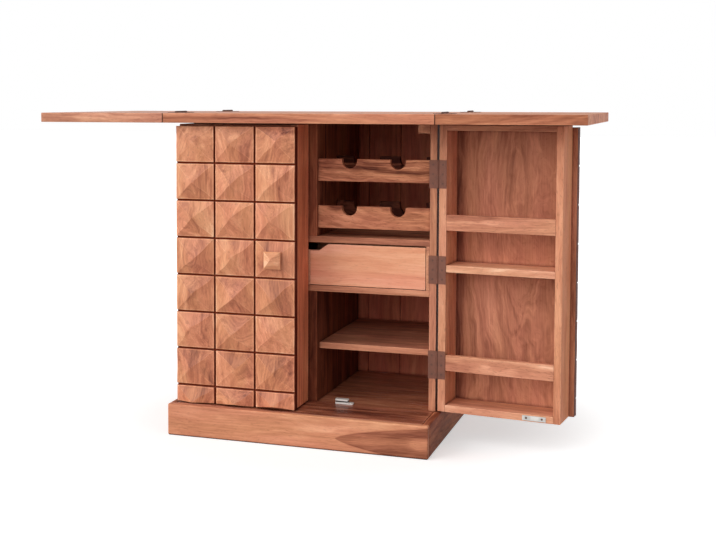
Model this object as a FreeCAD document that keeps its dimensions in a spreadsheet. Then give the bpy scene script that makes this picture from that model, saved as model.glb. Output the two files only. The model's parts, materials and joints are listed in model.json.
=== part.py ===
"""Bar armoire: a hardwood cabinet on a plinth, with two deep carved doors, a fold-out top and a drawer.

The origin is the centre of the plinth's underside, +Z is up and the front faces -Y. Millimetres.
The left door is shut at rest, the right one stands open, and both top leaves are folded out level.
"""
import FreeCAD, Part
import math
import os
import re

# A hinge's knuckles belong to its two leaves in turn
KNUCKLES = 5

# Driving sizes: name, value and meaning
SIZES = [
    ("overall_height", 950, "ground to the upper face of the top"),
    ("top_thickness", 28, "centre top and both leaves"),
    ("top_width", 806, "centre top, from one hinge line to the other"),
    ("top_depth", 650, "top and leaves, front to back"),
    ("leaf_width", 402, "a leaf, from its seam to its free end"),
    ("seam_gap", 0.4, "between the centre top and a leaf"),
    ("plinth_width", 782, "plinth, left to right"),
    ("plinth_height", 94, "ground to the cabinet floor"),
    ("plinth_depth", 650, "plinth, front to back"),
    ("plinth_board", 22, "thickness of the plinth's boards"),
    ("plinth_round", 5, "radius on the plinth's upper front edge"),
    ("floor_board", 20, "thickness of the cabinet floor"),
    ("carcass_width", 750, "over both side panels"),
    ("carcass_setback", 166, "plinth front to the side panels' front edges"),
    ("back_inset", 20, "plinth back to the outer face of the back panel"),
    ("side_board", 20, "thickness of the side panels"),
    ("back_board", 10, "thickness of the back panel"),
    ("divider_board", 36, "thickness of the centre dividers"),
    ("shelf_board", 18, "thickness of shelves, deck and cover"),
    ("shelf_setback", 25, "lower shelves behind the side panels' front edges"),
    ("bottle_space", 334, "drawer cover to the underside of the top"),
    ("drawer_opening", 127, "clear height between deck and cover"),
    ("corner_width", 36, "glue block under the top, left to right"),
    ("corner_height", 29, "glue block under the top"),
    ("corner_length", 60, "glue block under the top, front to back"),
    ("rack_board", 18, "thickness of the bottle racks"),
    ("rack_height", 66, "height of the bottle racks"),
    ("rack_setback", 9, "front racks behind the side panels' front edges"),
    ("rack_distance", 190, "front rack to rear rack, face to face"),
    ("rack_lift", 24.5, "drawer cover to the underside of the lower racks"),
    ("rack_step", 138, "from the lower racks up to the upper ones"),
    ("bottle_spread", 145, "between the two bottles that lie side by side"),
    ("neck_radius", 22.5, "notch for a bottle's neck"),
    ("neck_depth", 28, "notch for a bottle's neck, below the rack's top"),
    ("belly_radius", 41, "notch for a bottle's belly"),
    ("belly_depth", 46, "notch for a bottle's belly, below the rack's top"),
    ("drawer_board", 18, "thickness of the drawer front"),
    ("drawer_side", 12, "thickness of the drawer's sides and back"),
    ("drawer_base", 8, "thickness of the drawer's bottom"),
    ("drawer_base_lift", 6, "deck to the underside of the drawer's bottom"),
    ("drawer_wall", 92, "height of the drawer's sides"),
    ("drawer_back_gap", 36, "drawer to the back panel"),
    ("drawer_clear", 1.5, "running gap beside and under the drawer front"),
    ("drawer_head", 4, "gap between drawer front and cover"),
    ("drawer_lap", 4, "drawer front beyond the cabinet's centre plane"),
    ("fixed_front_gap", 0.6, "between the drawer front and the fixed front"),
    ("divider_setback", 100, "drawer divider behind the fronts"),
    ("guide_board", 10, "drawer guide beside the right side panel"),
    ("finger_depth", 20, "finger notch, below the fronts' upper edge"),
    ("finger_floor", 24, "half the finger notch's flat bottom"),
    ("finger_mouth", 53, "half the finger notch's mouth"),
    ("door_floor_gap", 3, "cabinet floor to the door"),
    ("door_top_gap", 10, "carved face to the underside of the top"),
    ("rim_rise", 6, "door's box frame above its carved face"),
    ("rim_depth", 102, "depth of a door's box frame"),
    ("rim_board", 20, "thickness of a door's box frame and shelf"),
    ("cap_board", 16, "thickness of the box frame's top board"),
    ("hinge_stile_board", 22, "thickness of the frame board that carries the hinges"),
    ("face_board", 20, "thickness of the panel that carries the carved blocks"),
    ("block_base", 7, "straight edge of a carved block"),
    ("block_rise", 20, "height of a block's pyramid"),
    ("block_height", 104.6, "a full block, top to bottom"),
    ("block_columns", 3, "blocks side by side on a door"),
    ("groove", 5, "between neighbouring blocks"),
    ("apex_wander", 3, "how far a hand-cut apex strays from the middle"),
    ("meeting_gap", 14, "between the two doors' blocks"),
    ("left_rim_inset", 0, "left door's box frame behind its blocks' free edge"),
    ("right_rim_inset", 15, "right door's box frame behind its blocks' free edge"),
    ("door_shelf_lift", 402, "door's lower edge to the underside of its shelf"),
    ("rail_height", 45, "height of a retaining rail"),
    ("rail_board", 18, "thickness of a retaining rail"),
    ("rail_lift", 99, "shelf or bottom board to the rail above it"),
    ("knob_size", 50, "side of the square knob"),
    ("knob_head", 12, "straight edge of the knob's head"),
    ("knob_rise", 8, "height of the knob's pyramid"),
    ("knob_neck", 34, "side of the knob's neck"),
    ("knob_neck_length", 10, "length of the knob's neck"),
    ("knob_seat", 9, "height of the flattened block under the knob"),
    ("knob_row", 4, "block that carries the knob, counted from the top"),
    ("pin_offset", 3, "door hinge axis outside the side panel"),
    ("hinge_gap", 3, "side panel's front edge to the shut door's frame"),
    ("top_pin_lift", 3, "leaf hinge axis above the top"),
    ("hinge_height", 80, "length of a hinge"),
    ("hinge_plate", 22, "width of a hinge leaf on the wood"),
    ("hinge_metal", 1.4, "thickness of a hinge leaf"),
    ("barrel_radius", 2.7, "outside of the hinge knuckles"),
    ("barrel_clear", 0.3, "knuckles to the other leaf"),
    ("knuckle_gap", 0.2, "between neighbouring knuckles"),
    ("pin_radius", 1.4, "hinge pin"),
    ("pin_clear", 0.05, "running gap between pin and knuckle"),
    ("pin_head", 1, "thickness of a pin's heads"),
    ("pin_head_radius", 2.3, "a pin's heads"),
    ("hinge_inset", 134, "door's end to the middle of its outer hinges"),
    ("top_hinge_inset", 135, "top's front or back to the middle of a leaf hinge"),
    ("screw_spacing", 27, "between a hinge leaf's screws"),
    ("screw_head_radius", 3, "countersunk screw head"),
    ("screw_head", 1.2, "thickness of a screw head"),
    ("screw_radius", 1.6, "screw shank"),
    ("screw_length", 14, "screw shank in the wood"),
    ("screw_clear", 0.1, "screw head in its hole"),
    ("catch_offset", 95, "centre plane to the middle of a door catch"),
    ("catch_length", 38, "magnetic catch, left to right"),
    ("catch_depth", 16, "magnetic catch, front to back"),
    ("catch_height", 14, "magnetic catch"),
    ("catch_slot", 4, "slot between the catch's two bars"),
    ("catch_slot_depth", 5, "depth of that slot"),
    ("catch_tab", 15, "fixing tab at the catch's outer end"),
    ("catch_tab_height", 4, "thickness of that tab"),
    ("catch_gap", 0.3, "catch to the shut door's strike plate"),
    ("strike_length", 66, "strike plate, along the door"),
    ("strike_height", 14, "strike plate"),
    ("strike_metal", 1.5, "thickness of the strike plate"),
    ("strike_screws", 44, "between the strike plate's screws"),
    ("rest_angle", 173.5, "opening of the right door at rest, in degrees"),
]

# Sizes that follow from the driving ones
DERIVED = [
    ("top_under", "overall_height - top_thickness"),
    ("carcass_front", "carcass_setback - plinth_depth / 2"),
    ("carcass_back", "plinth_depth / 2 - back_inset"),
    ("bay_back", "carcass_back - back_board"),
    ("bay_side", "carcass_width / 2 - side_board"),
    ("bay_inner", "divider_board / 2"),
    ("bottle_middle", "(bay_inner + bay_side) / 2"),
    ("cover_top", "top_under - bottle_space"),
    ("cover_under", "cover_top - shelf_board"),
    ("deck_top", "cover_under - drawer_opening"),
    ("deck_height", "deck_top - shelf_board"),
    ("shelf_height", "(plinth_height + deck_height - shelf_board) / 2"),
    ("lower_rack_height", "cover_top + rack_lift"),
    ("upper_rack_height", "lower_rack_height + rack_step"),
    ("front_top", "cover_under - drawer_head"),
    ("drawer_edge", "bay_side - guide_board - drawer_clear"),
    ("drawer_box_front", "carcass_front + drawer_board"),
    ("drawer_box_back", "bay_back - drawer_back_gap"),
    ("drawer_inner", "bay_inner + drawer_clear"),
    ("axis_x", "carcass_width / 2 + pin_offset"),
    ("axis_y", "carcass_front - hinge_gap / 2"),
    ("rim_back", "carcass_front - hinge_gap"),
    ("rim_front", "rim_back - rim_depth"),
    ("face_front", "rim_front - face_board"),
    ("block_front", "face_front - block_base"),
    ("door_low", "plinth_height + door_floor_gap"),
    ("door_high", "top_under - door_top_gap"),
    ("rim_high", "door_high + rim_rise"),
    ("door_edge", "meeting_gap / 2"),
    ("left_rim_edge", "door_edge + left_rim_inset"),
    ("right_rim_edge", "door_edge + right_rim_inset"),
    ("rim_outer", "carcass_width / 2 - hinge_stile_board"),
    ("door_shelf", "door_low + door_shelf_lift"),
    ("block_width", "(carcass_width / 2 - door_edge - (block_columns - 1) * groove) / block_columns"),
    ("block_pitch", "block_height + groove"),
    ("column_pitch", "block_width + groove"),
    ("knob_x", "door_edge + block_width / 2"),
    ("knob_z", "door_high - (knob_row - 1) * block_pitch - block_height / 2"),
    ("knob_y", "block_front - knob_seat"),
    ("plate_start", "barrel_radius + barrel_clear"),
    ("plate_end", "pin_offset + hinge_plate"),
    ("plate_middle", "(plate_start + plate_end) / 2"),
    ("knuckle_pitch", f"hinge_height / {KNUCKLES}"),
    ("strike_low", "door_low + (rim_board - strike_height) / 2"),
    ("swing_x", "axis_x - axis_x * cos(rest_angle) + axis_y * sin(rest_angle)"),
    ("swing_y", "axis_y - axis_x * sin(rest_angle) - axis_y * cos(rest_angle)"),
]

LEFT, RIGHT = -1, 1
SIDE_NAMES = {LEFT: "left", RIGHT: "right"}
FRAME_KNUCKLES = range(0, KNUCKLES, 2)
MOVING_KNUCKLES = range(1, KNUCKLES, 2)
LEAF_SCREWS = (-1, 0, 1)
UP_AXIS = FreeCAD.Vector(0, 0, 1)
ACROSS_AXIS = FreeCAD.Vector(1, 0, 0)
HALF_TURN = FreeCAD.Rotation(UP_AXIS, 180)
Z_TO_FORWARD = FreeCAD.Rotation(ACROSS_AXIS, 90)
Z_TO_BACKWARD = FreeCAD.Rotation(ACROSS_AXIS, -90)
UPRIGHT = FreeCAD.Rotation()

doc = FreeCAD.newDocument("bar_armoire")
sheet = doc.addObject("Spreadsheet::Sheet", "sizes")
nodes = []


def fill_sheet():
    """Write the driving sizes as numbers and the others as formulas, each under its own name."""
    rows = [(name, str(value)) for name, value, _ in SIZES]
    rows += [(name, "=" + formula) for name, formula in DERIVED]
    for line, (name, content) in enumerate(rows, start=1):
        sheet.set(f"A{line}", name)
        sheet.set(f"B{line}", content)
        sheet.setAlias(f"B{line}", name)
    doc.recompute()


def bind(piece, prop, formula):
    """Tie a property to the sheet: every word in the formula is a size."""
    piece.setExpression(prop, re.sub(r"[a-z][a-z_]*", lambda word: "sizes." + word[0], str(formula)))


def put(piece, x, y, z, turn=UPRIGHT):
    """Place a piece at a point given by formulas, turned by a fixed rotation."""
    piece.Placement = FreeCAD.Placement(FreeCAD.Vector(), turn)
    for axis, formula in zip("xyz", (x, y, z)):
        bind(piece, f"Placement.Base.{axis}", formula)
    return piece


def slab(x, y, z):
    """A board between a low and a high value on each axis."""
    board = doc.addObject("Part::Box", "board")
    for prop, (low, high) in zip(("Length", "Width", "Height"), (x, y, z)):
        bind(board, prop, f"({high}) - ({low})")
    return put(board, x[0], y[0], z[0])


def rod(radius, length, x, y, z, turn=UPRIGHT):
    """A cylinder that starts at a point and runs along its own z axis."""
    cylinder = doc.addObject("Part::Cylinder", "rod")
    bind(cylinder, "Radius", radius)
    bind(cylinder, "Height", length)
    return put(cylinder, x, y, z, turn)


def pyramid(x, y, z, apex_x, apex_z):
    """A taper along its own y axis, from the rectangle x by z to the rectangle apex_x by apex_z."""
    taper = doc.addObject("Part::Wedge", "pyramid")
    for name, span in (("X", x), ("Y", y), ("Z", z), ("X2", apex_x), ("Z2", apex_z)):
        bind(taper, name + "min", span[0])
        bind(taper, name + "max", span[1])
    return taper


def fused(pieces):
    """Several overlapping or touching shapes as one solid."""
    whole = doc.addObject("Part::MultiFuse", "fused")
    whole.Shapes = pieces
    return whole


def cut(base, tools):
    """A piece less the tools that do not touch each other."""
    tool = doc.addObject("Part::Compound", "tools")
    tool.Links = tools
    result = doc.addObject("Part::Cut", "cut")
    result.Base = base
    result.Tool = tool
    return result


def node(label, solids, swung=False):
    """A finished sub-part. A swung one is drawn on the shut right door and stands on the open one."""
    piece = doc.addObject("Part::Compound", label)
    piece.Label = label
    piece.Links = solids
    if swung:
        put(piece, "swing_x", "swing_y", "0", FreeCAD.Rotation(UP_AXIS, sheet.rest_angle))
        bind(piece, "Placement.Rotation.Angle", "rest_angle")
    nodes.append(piece)
    return piece


def across(side, inner, outer):
    """An x range on the left or right half, from its distances to the centre plane."""
    return (inner, outer) if side == RIGHT else (f"-({outer})", f"-({inner})")


def centred(middle, size):
    """A range of one size about a middle."""
    return f"{middle} - ({size}) / 2", f"{middle} + ({size}) / 2"


def make_plinth():
    """Four boards on the ground and the cabinet floor between them, with a rounded front edge."""
    width = centred("0", "plinth_width")
    inner = centred("0", "plinth_width - 2 * plinth_board")
    inner_depth = centred("0", "plinth_depth - 2 * plinth_board")
    height = ("0", "plinth_height")
    front = slab(width, ("-plinth_depth / 2", "plinth_board - plinth_depth / 2"), height)
    doc.recompute()
    box = front.Shape.BoundBox
    edges = [
        number
        for number, edge in enumerate(front.Shape.Edges, start=1)
        if all(abs(v.Y - box.YMin) + abs(v.Z - box.ZMax) < 1e-6 for v in edge.Vertexes)
    ]
    rounded = doc.addObject("Part::Fillet", "rounded")
    rounded.Base = front
    rounded.Edges = [(number, sheet.plinth_round, sheet.plinth_round) for number in edges]
    node("plinth_front", [rounded])
    node("plinth_back", [slab(width, ("plinth_depth / 2 - plinth_board", "plinth_depth / 2"), height)])
    sides = [
        slab(across(side, "plinth_width / 2 - plinth_board", "plinth_width / 2"), inner_depth, height)
        for side in (LEFT, RIGHT)
    ]
    node("plinth_sides", sides)
    node("cabinet_floor", [slab(inner, inner_depth, ("plinth_height - floor_board", "plinth_height"))])


def make_carcass():
    """Side panels, back, dividers, shelves, the drawer's deck and cover, and glue blocks under the top."""
    full_height = ("plinth_height", "top_under")
    bay_depth = ("carcass_front", "bay_back")
    bay_width = ("-bay_side", "bay_side")
    middle = ("-bay_inner", "bay_inner")
    drawer_space = ("deck_top", "cover_under")
    for side in (LEFT, RIGHT):
        panel_depth = ("carcass_front", "carcass_back")
        panel = slab(across(side, "bay_side", "carcass_width / 2"), panel_depth, full_height)
        node(f"{SIDE_NAMES[side]}_side_panel", [panel])
        shelf = slab(
            across(side, "bay_inner", "bay_side"),
            ("carcass_front + shelf_setback", "bay_back"),
            ("shelf_height", "shelf_height + shelf_board"),
        )
        node(f"{SIDE_NAMES[side]}_lower_shelf", [shelf])
    node("back_panel", [slab(bay_width, ("bay_back", "carcass_back"), full_height)])
    node("lower_divider", [slab(middle, bay_depth, ("plinth_height", "deck_height"))])
    node("upper_divider", [slab(middle, bay_depth, ("cover_top", "top_under"))])
    node("drawer_divider", [slab(middle, ("drawer_box_front + divider_setback", "bay_back"), drawer_space)])
    node("drawer_deck", [slab(bay_width, bay_depth, ("deck_height", "deck_top"))])
    node("drawer_cover", [slab(bay_width, bay_depth, ("cover_under", "cover_top"))])
    node("drawer_guide", [slab(("bay_side - guide_board", "bay_side"), bay_depth, drawer_space)])
    corner_front = ("carcass_front", "carcass_front + corner_length")
    corner_back = ("bay_back - corner_length", "bay_back")
    corner_span = ("top_under - corner_height", "top_under")
    blocks = [
        slab(across(side, "bay_side - corner_width", "bay_side"), depth, corner_span)
        for side in (LEFT, RIGHT)
        for depth in (corner_front, corner_back)
    ]
    node("top_corner_blocks", blocks)


def rack(side, low, front, radius, depth):
    """A rack board with two round-bottomed notches open at the top."""
    y = (front, f"{front} + rack_board")
    board = slab(across(side, "bay_inner", "bay_side"), y, (low, f"{low} + rack_height"))
    centre = f"{low} + rack_height - {depth} + {radius}"
    notches = []
    for bottle in (LEFT, RIGHT):
        x = f"{side} * bottle_middle + {bottle} * bottle_spread / 2"
        round_bottom = rod(radius, "rack_board", x, front, centre, Z_TO_BACKWARD)
        mouth = slab(centred(x, f"2 * {radius}"), y, (centre, f"{centre} + rack_height"))
        notches.append(fused([round_bottom, mouth]))
    return cut(board, notches)


def make_racks():
    """In each bay, two front racks for bottle necks and two rear racks for bottle bellies."""
    front = "carcass_front + rack_setback"
    rear = f"{front} + rack_distance"
    for side in (LEFT, RIGHT):
        boards = []
        for low in ("upper_rack_height", "lower_rack_height"):
            boards.append(rack(side, low, front, "neck_radius", "neck_depth"))
            boards.append(rack(side, low, rear, "belly_radius", "belly_depth"))
        node(f"{SIDE_NAMES[side]}_bottle_racks", boards)


def finger_notch():
    """The tapered notch cut into the upper edges of the drawer front and the fixed front."""
    notch = pyramid(
        ("-finger_mouth", "finger_mouth"),
        ("0", "finger_depth"),
        ("0", "drawer_board"),
        ("-finger_floor", "finger_floor"),
        ("0", "drawer_board"),
    )
    return put(notch, "0", "carcass_front", "front_top", Z_TO_BACKWARD)


def make_drawer():
    """The drawer in the right bay, and the fixed front that fills the left one."""
    face = ("carcass_front", "drawer_box_front")
    fixed = slab(("-bay_side", "-drawer_lap - fixed_front_gap"), face, ("deck_top", "front_top"))
    node("fixed_front", [cut(fixed, [finger_notch()])])
    front = slab(("-drawer_lap", "drawer_edge"), face, ("deck_top + drawer_clear", "front_top"))
    node("drawer_front", [cut(front, [finger_notch()])])
    length = ("drawer_box_front", "drawer_box_back")
    wall = ("deck_top", "deck_top + drawer_wall")
    inner = ("drawer_inner + drawer_side", "drawer_edge - drawer_side")
    left = slab(("drawer_inner", "drawer_inner + drawer_side"), length, wall)
    right = slab(("drawer_edge - drawer_side", "drawer_edge"), length, wall)
    node("drawer_sides", [left, right])
    base_low = "deck_top + drawer_base_lift"
    node("drawer_back", [slab(inner, ("drawer_box_back - drawer_side", "drawer_box_back"), wall)])
    base_depth = ("drawer_box_front", "drawer_box_back - drawer_side")
    node("drawer_bottom", [slab(inner, base_depth, (base_low, f"{base_low} + drawer_base"))])


def apex_stray(side, column, row):
    """How far a hand-cut apex lies from its block's middle, across and up: steady, but uneven."""
    across_share = math.sin(5 * column + 3 * row + side)
    up_share = math.cos(4 * column + 7 * row - side)
    return f"apex_wander * {across_share:.2f}", f"apex_wander * {up_share:.2f}"


def carved_block(side, column, high, low, row):
    """A block with a hand-cut pyramid. The last row is cut off at its pyramids' middle."""
    inner = f"door_edge + {column} * column_pitch"
    x = across(side, inner, f"{inner} + block_width")
    base = slab(x, ("block_front", "face_front"), (low, high))
    half_width = "block_width / 2"
    half_height = f"(({high}) - ({low})) / 2"
    rise = "block_rise"
    stray_x, stray_z = apex_stray(side, column, row)
    apex_x, apex_z = (stray_x, stray_x), (stray_z, stray_z)
    if low == "door_low":
        apex_z = (f"-{half_height}", f"-{half_height}")
    elif column == 0 and row == int(sheet.knob_row) - 1:
        apex_x = apex_z = centred("0", "knob_neck")
        rise = "knob_seat"
    tip = pyramid(
        (f"-{half_width}", half_width),
        ("0", rise),
        (f"-{half_height}", half_height),
        apex_x,
        apex_z,
    )
    put(tip, f"({x[0]} + {x[1]}) / 2", "block_front", f"({low} + {high}) / 2", HALF_TURN)
    return fused([base, tip])


def carved_blocks(side):
    """Rows of blocks from the door's top down, with a cut row in what is left at the bottom."""
    height = sheet.door_high - sheet.door_low
    full_rows = int((height + sheet.groove) // sheet.block_pitch)
    rest = height - full_rows * sheet.block_pitch
    rows = [(f"door_high - {row} * block_pitch", f"door_high - {row} * block_pitch - block_height")
            for row in range(full_rows)]
    if rest > sheet.groove:
        rows.append((f"door_high - {full_rows} * block_pitch", "door_low"))
    return [
        carved_block(side, column, high, low, row)
        for row, (high, low) in enumerate(rows)
        for column in range(int(sheet.block_columns))
    ]


def knob(side):
    """A square knob: a neck on the flattened block, and a wider head with a low pyramid."""
    x = f"{side} * knob_x"
    neck_end = "knob_y - knob_neck_length"
    head_end = f"{neck_end} - knob_head"
    neck = slab(centred(x, "knob_neck"), (neck_end, "knob_y"), centred("knob_z", "knob_neck"))
    head = slab(centred(x, "knob_size"), (head_end, neck_end), centred("knob_z", "knob_size"))
    face = centred("0", "knob_size")
    tip = pyramid(face, ("0", "knob_rise"), face, ("0", "0"), ("0", "0"))
    put(tip, x, head_end, "knob_z", HALF_TURN)
    return fused([neck, head, tip])


def screw(x, y, z, into, place, turn=UPRIGHT):
    """A countersunk screw whose head sits on the wood at y and whose shank runs into it."""
    drive = Z_TO_BACKWARD if into > 0 else Z_TO_FORWARD
    head = rod("screw_head_radius", "screw_head", x, f"{y} - {into} * screw_head", z, drive)
    shank = rod("screw_radius", "screw_length", x, y, z, drive)
    return put(fused([head, shank]), *place, turn)


def hinge_leaf(toward, plate_low, knuckles, place, turn=UPRIGHT):
    """A hinge leaf about its own z axis: a plate with screw holes and its share of the knuckles."""
    y = (plate_low, f"{plate_low} + hinge_metal")
    solids = [slab(across(toward, "plate_start", "plate_end"), y, centred("0", "hinge_height"))]
    for number in knuckles:
        low = f"{number} * knuckle_pitch - hinge_height / 2 + knuckle_gap / 2"
        length = "knuckle_pitch - knuckle_gap"
        solids.append(slab(across(toward, "0", "plate_start"), y, (low, f"{low} + {length}")))
        solids.append(rod("barrel_radius", length, "0", "0", low))
    holes = [rod("pin_radius + pin_clear", "hinge_height", "0", "0", "-hinge_height / 2")]
    x = f"{toward} * plate_middle"
    hole_radius = "screw_head_radius + screw_clear"
    for number in LEAF_SCREWS:
        z = f"{number} * screw_spacing"
        holes.append(rod(hole_radius, "hinge_metal", x, plate_low, z, Z_TO_BACKWARD))
    return put(cut(fused(solids), holes), *place, turn)


def leaf_screws(toward, wood, into, place, turn=UPRIGHT):
    """The three screws of a hinge leaf, in the leaf's own frame."""
    x = f"{toward} * plate_middle"
    return [screw(x, wood, f"{number} * screw_spacing", into, place, turn) for number in LEAF_SCREWS]


def hinge_pin(place, turn=UPRIGHT):
    """A headed pin through all the knuckles."""
    shank = rod("pin_radius", "hinge_height", "0", "0", "-hinge_height / 2")
    upper = rod("pin_head_radius", "pin_head", "0", "0", "hinge_height / 2")
    lower = rod("pin_head_radius", "pin_head", "0", "0", "-hinge_height / 2 - pin_head")
    return put(fused([shank, upper, lower]), *place, turn)


def door_hinge_places(side):
    """The middles of a door's three hinges."""
    heights = ("door_low + hinge_inset", "(door_low + door_high) / 2", "door_high - hinge_inset")
    return [(f"{side} * axis_x", "axis_y", height) for height in heights]


def top_hinge_places(side):
    """The middles of a leaf's two hinges."""
    seam = f"{side} * top_width / 2"
    lift = "overall_height + top_pin_lift"
    return [(seam, f"{end} * (top_depth / 2 - top_hinge_inset)", lift) for end in (-1, 1)]


def make_hinge_frame_side():
    """The hinge leaves, pins and screws that stay on the cabinet."""
    leaves, pins, screws = [], [], []
    for side in (LEFT, RIGHT):
        for place in door_hinge_places(side):
            leaves.append(hinge_leaf(-side, "hinge_gap / 2 - hinge_metal", FRAME_KNUCKLES, place))
            pins.append(hinge_pin(place))
            screws += leaf_screws(-side, "hinge_gap / 2", 1, place)
        for place in top_hinge_places(side):
            leaves.append(hinge_leaf(-side, "-top_pin_lift", FRAME_KNUCKLES, place, Z_TO_FORWARD))
            pins.append(hinge_pin(place, Z_TO_FORWARD))
            screws += leaf_screws(-side, "-top_pin_lift", -1, place, Z_TO_FORWARD)
    node("frame_hinge_leaves", leaves)
    node("hinge_pins", pins)
    node("frame_hinge_screws", screws)


def make_door(side):
    """A deep door: box frame with shelf and rails, face panel with carved blocks, knob and hardware."""
    name = SIDE_NAMES[side] + "_door_"
    swung = side == RIGHT
    depth = ("rim_front", "rim_back")
    rim_height = ("door_low", "rim_high")
    face_height = ("door_low", "door_high")
    edge = SIDE_NAMES[side] + "_rim_edge"
    between = across(side, f"{edge} + rim_board", "rim_outer")
    rail_depth = ("rim_back - rail_board", "rim_back")
    lower_rail = "door_low + rim_board + rail_lift"
    upper_rail = "door_shelf + rim_board + rail_lift"
    boards = {
        "hinge_stile": (across(side, "rim_outer", "carcass_width / 2"), depth, rim_height),
        "free_stile": (across(side, edge, f"{edge} + rim_board"), depth, rim_height),
        "top_board": (between, depth, ("rim_high - cap_board", "rim_high")),
        "bottom_board": (between, depth, ("door_low", "door_low + rim_board")),
        "shelf": (between, depth, ("door_shelf", "door_shelf + rim_board")),
        "upper_rail": (between, rail_depth, (upper_rail, f"{upper_rail} + rail_height")),
        "lower_rail": (between, rail_depth, (lower_rail, f"{lower_rail} + rail_height")),
        "face_panel": (
            across(side, "door_edge", "carcass_width / 2"),
            ("face_front", "rim_front"),
            face_height,
        ),
    }
    for piece, spans in boards.items():
        node(name + piece, [slab(*spans)], swung)
    node(name + "carved_blocks", carved_blocks(side), swung)
    node(name + "knob", [knob(side)], swung)
    places = door_hinge_places(side)
    leaves = [hinge_leaf(-side, "-hinge_gap / 2", MOVING_KNUCKLES, place) for place in places]
    node(name + "hinge_leaves", leaves, swung)
    x = f"{side} * catch_offset"
    strike_y = ("rim_back", "rim_back + strike_metal")
    strike = slab(centred(x, "strike_length"), strike_y, ("strike_low", "strike_low + strike_height"))
    screw_z = "strike_low + strike_height / 2"
    screw_x = [f"{x} + {end} * strike_screws / 2" for end in (-1, 1)]
    hole_radius = "screw_head_radius + screw_clear"
    holes = [rod(hole_radius, "strike_metal", at, "rim_back", screw_z, Z_TO_BACKWARD) for at in screw_x]
    node(name + "strike_plate", [cut(strike, holes)], swung)
    screws = [screw(at, "rim_back", screw_z, -1, ("0", "0", "0")) for at in screw_x]
    for place in places:
        screws += leaf_screws(-side, "-hinge_gap / 2", -1, place)
    node(name + "screws", screws, swung)


def make_catches():
    """The magnetic catches on the cabinet floor, each with two bars, a slot between them and a tab."""
    front = "rim_back + strike_metal + catch_gap"
    depth = (front, f"{front} + catch_depth")
    outer_end = "catch_offset + catch_length / 2"
    catches = []
    for side in (LEFT, RIGHT):
        x = centred(f"{side} * catch_offset", "catch_length")
        housing = slab(x, depth, ("plinth_height", "plinth_height + catch_height"))
        slot_z = centred("plinth_height + catch_height / 2", "catch_slot")
        slot = slab(x, (front, f"{front} + catch_slot_depth"), slot_z)
        tab_x = across(side, outer_end, f"{outer_end} + catch_tab")
        tab = slab(tab_x, depth, ("plinth_height", "plinth_height + catch_tab_height"))
        catches.append(fused([cut(housing, [slot]), tab]))
    node("door_catches", catches)


def make_top():
    """The centre top and the two leaves that fold over it."""
    depth = centred("0", "top_depth")
    height = ("top_under", "overall_height")
    node("top_panel", [slab(centred("0", "top_width - seam_gap"), depth, height)])
    for side in (LEFT, RIGHT):
        name = SIDE_NAMES[side] + "_leaf_"
        seam = "(top_width + seam_gap) / 2"
        node(name + "panel", [slab(across(side, seam, f"{seam} + leaf_width"), depth, height)])
        places = top_hinge_places(side)
        lift = "-top_pin_lift"
        leaves = [hinge_leaf(side, lift, MOVING_KNUCKLES, place, Z_TO_FORWARD) for place in places]
        node(name + "hinge_leaves", leaves)
        screws = [piece for place in places for piece in leaf_screws(side, lift, -1, place, Z_TO_FORWARD)]
        node(name + "screws", screws)


def check_and_export():
    """Stop on any failed object, then write one file for each sub-part."""
    doc.recompute()
    failed = [obj.Label for obj in doc.Objects if {"Invalid", "Error"} & set(obj.State)]
    failed += [piece.Label for piece in nodes if piece.Shape.isNull() or not piece.Shape.isValid()]
    if failed:
        raise RuntimeError("failed objects: " + ", ".join(failed))
    os.makedirs("parts", exist_ok=True)
    for piece in nodes:
        piece.Shape.exportStep(f"parts/{piece.Label}.step")
    print(len(nodes), "sub-parts written")


fill_sheet()
make_plinth()
make_carcass()
make_racks()
make_drawer()
make_hinge_frame_side()
for door_side in (LEFT, RIGHT):
    make_door(door_side)
make_catches()
make_top()
check_and_export()
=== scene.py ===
"""Looks of the bar armoire: oiled hardwood with carved blocks, dark hinges, and a pale floor.

Lengths are metres in the part's own frame: +Z is up, the front faces -Y, and the ground is z = 0.
"""
import json
import math
import random

import bmesh
import bpy
import numpy as np
from mathutils import Euler, Matrix, Vector


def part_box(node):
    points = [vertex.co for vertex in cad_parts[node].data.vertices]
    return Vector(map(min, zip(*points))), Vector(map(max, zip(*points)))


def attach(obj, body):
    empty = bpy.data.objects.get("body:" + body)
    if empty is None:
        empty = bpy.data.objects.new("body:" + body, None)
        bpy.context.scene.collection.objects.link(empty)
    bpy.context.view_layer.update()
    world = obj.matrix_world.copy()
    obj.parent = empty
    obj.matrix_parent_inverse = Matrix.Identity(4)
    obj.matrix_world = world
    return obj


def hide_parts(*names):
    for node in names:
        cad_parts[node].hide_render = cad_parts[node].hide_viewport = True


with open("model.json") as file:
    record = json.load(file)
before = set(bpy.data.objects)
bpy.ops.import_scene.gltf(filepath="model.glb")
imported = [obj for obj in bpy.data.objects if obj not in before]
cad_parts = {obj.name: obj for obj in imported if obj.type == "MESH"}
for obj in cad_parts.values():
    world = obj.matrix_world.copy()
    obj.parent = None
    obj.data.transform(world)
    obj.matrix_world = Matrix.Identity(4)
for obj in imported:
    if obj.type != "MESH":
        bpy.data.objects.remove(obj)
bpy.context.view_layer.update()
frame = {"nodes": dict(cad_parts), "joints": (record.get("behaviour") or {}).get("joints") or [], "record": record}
nodes = frame["nodes"]

MM = 0.001
SAME_POINT = 0.01 * MM

# The photograph's camera: turn and dip in degrees, focus and shift as shares of the picture's width
PHOTO_WIDTH = 716
FOCUS_PIXELS = 1240.9
CAMERA_PLACE = (1.1176, -3.6267, 0.9897)
CAMERA_TURN = 19.65
CAMERA_DIP = 3.51
CAMERA_FOCUS = FOCUS_PIXELS / PHOTO_WIDTH
CAMERA_SHIFT = (0.1192, -0.1319)
SENSOR = 36

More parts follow.
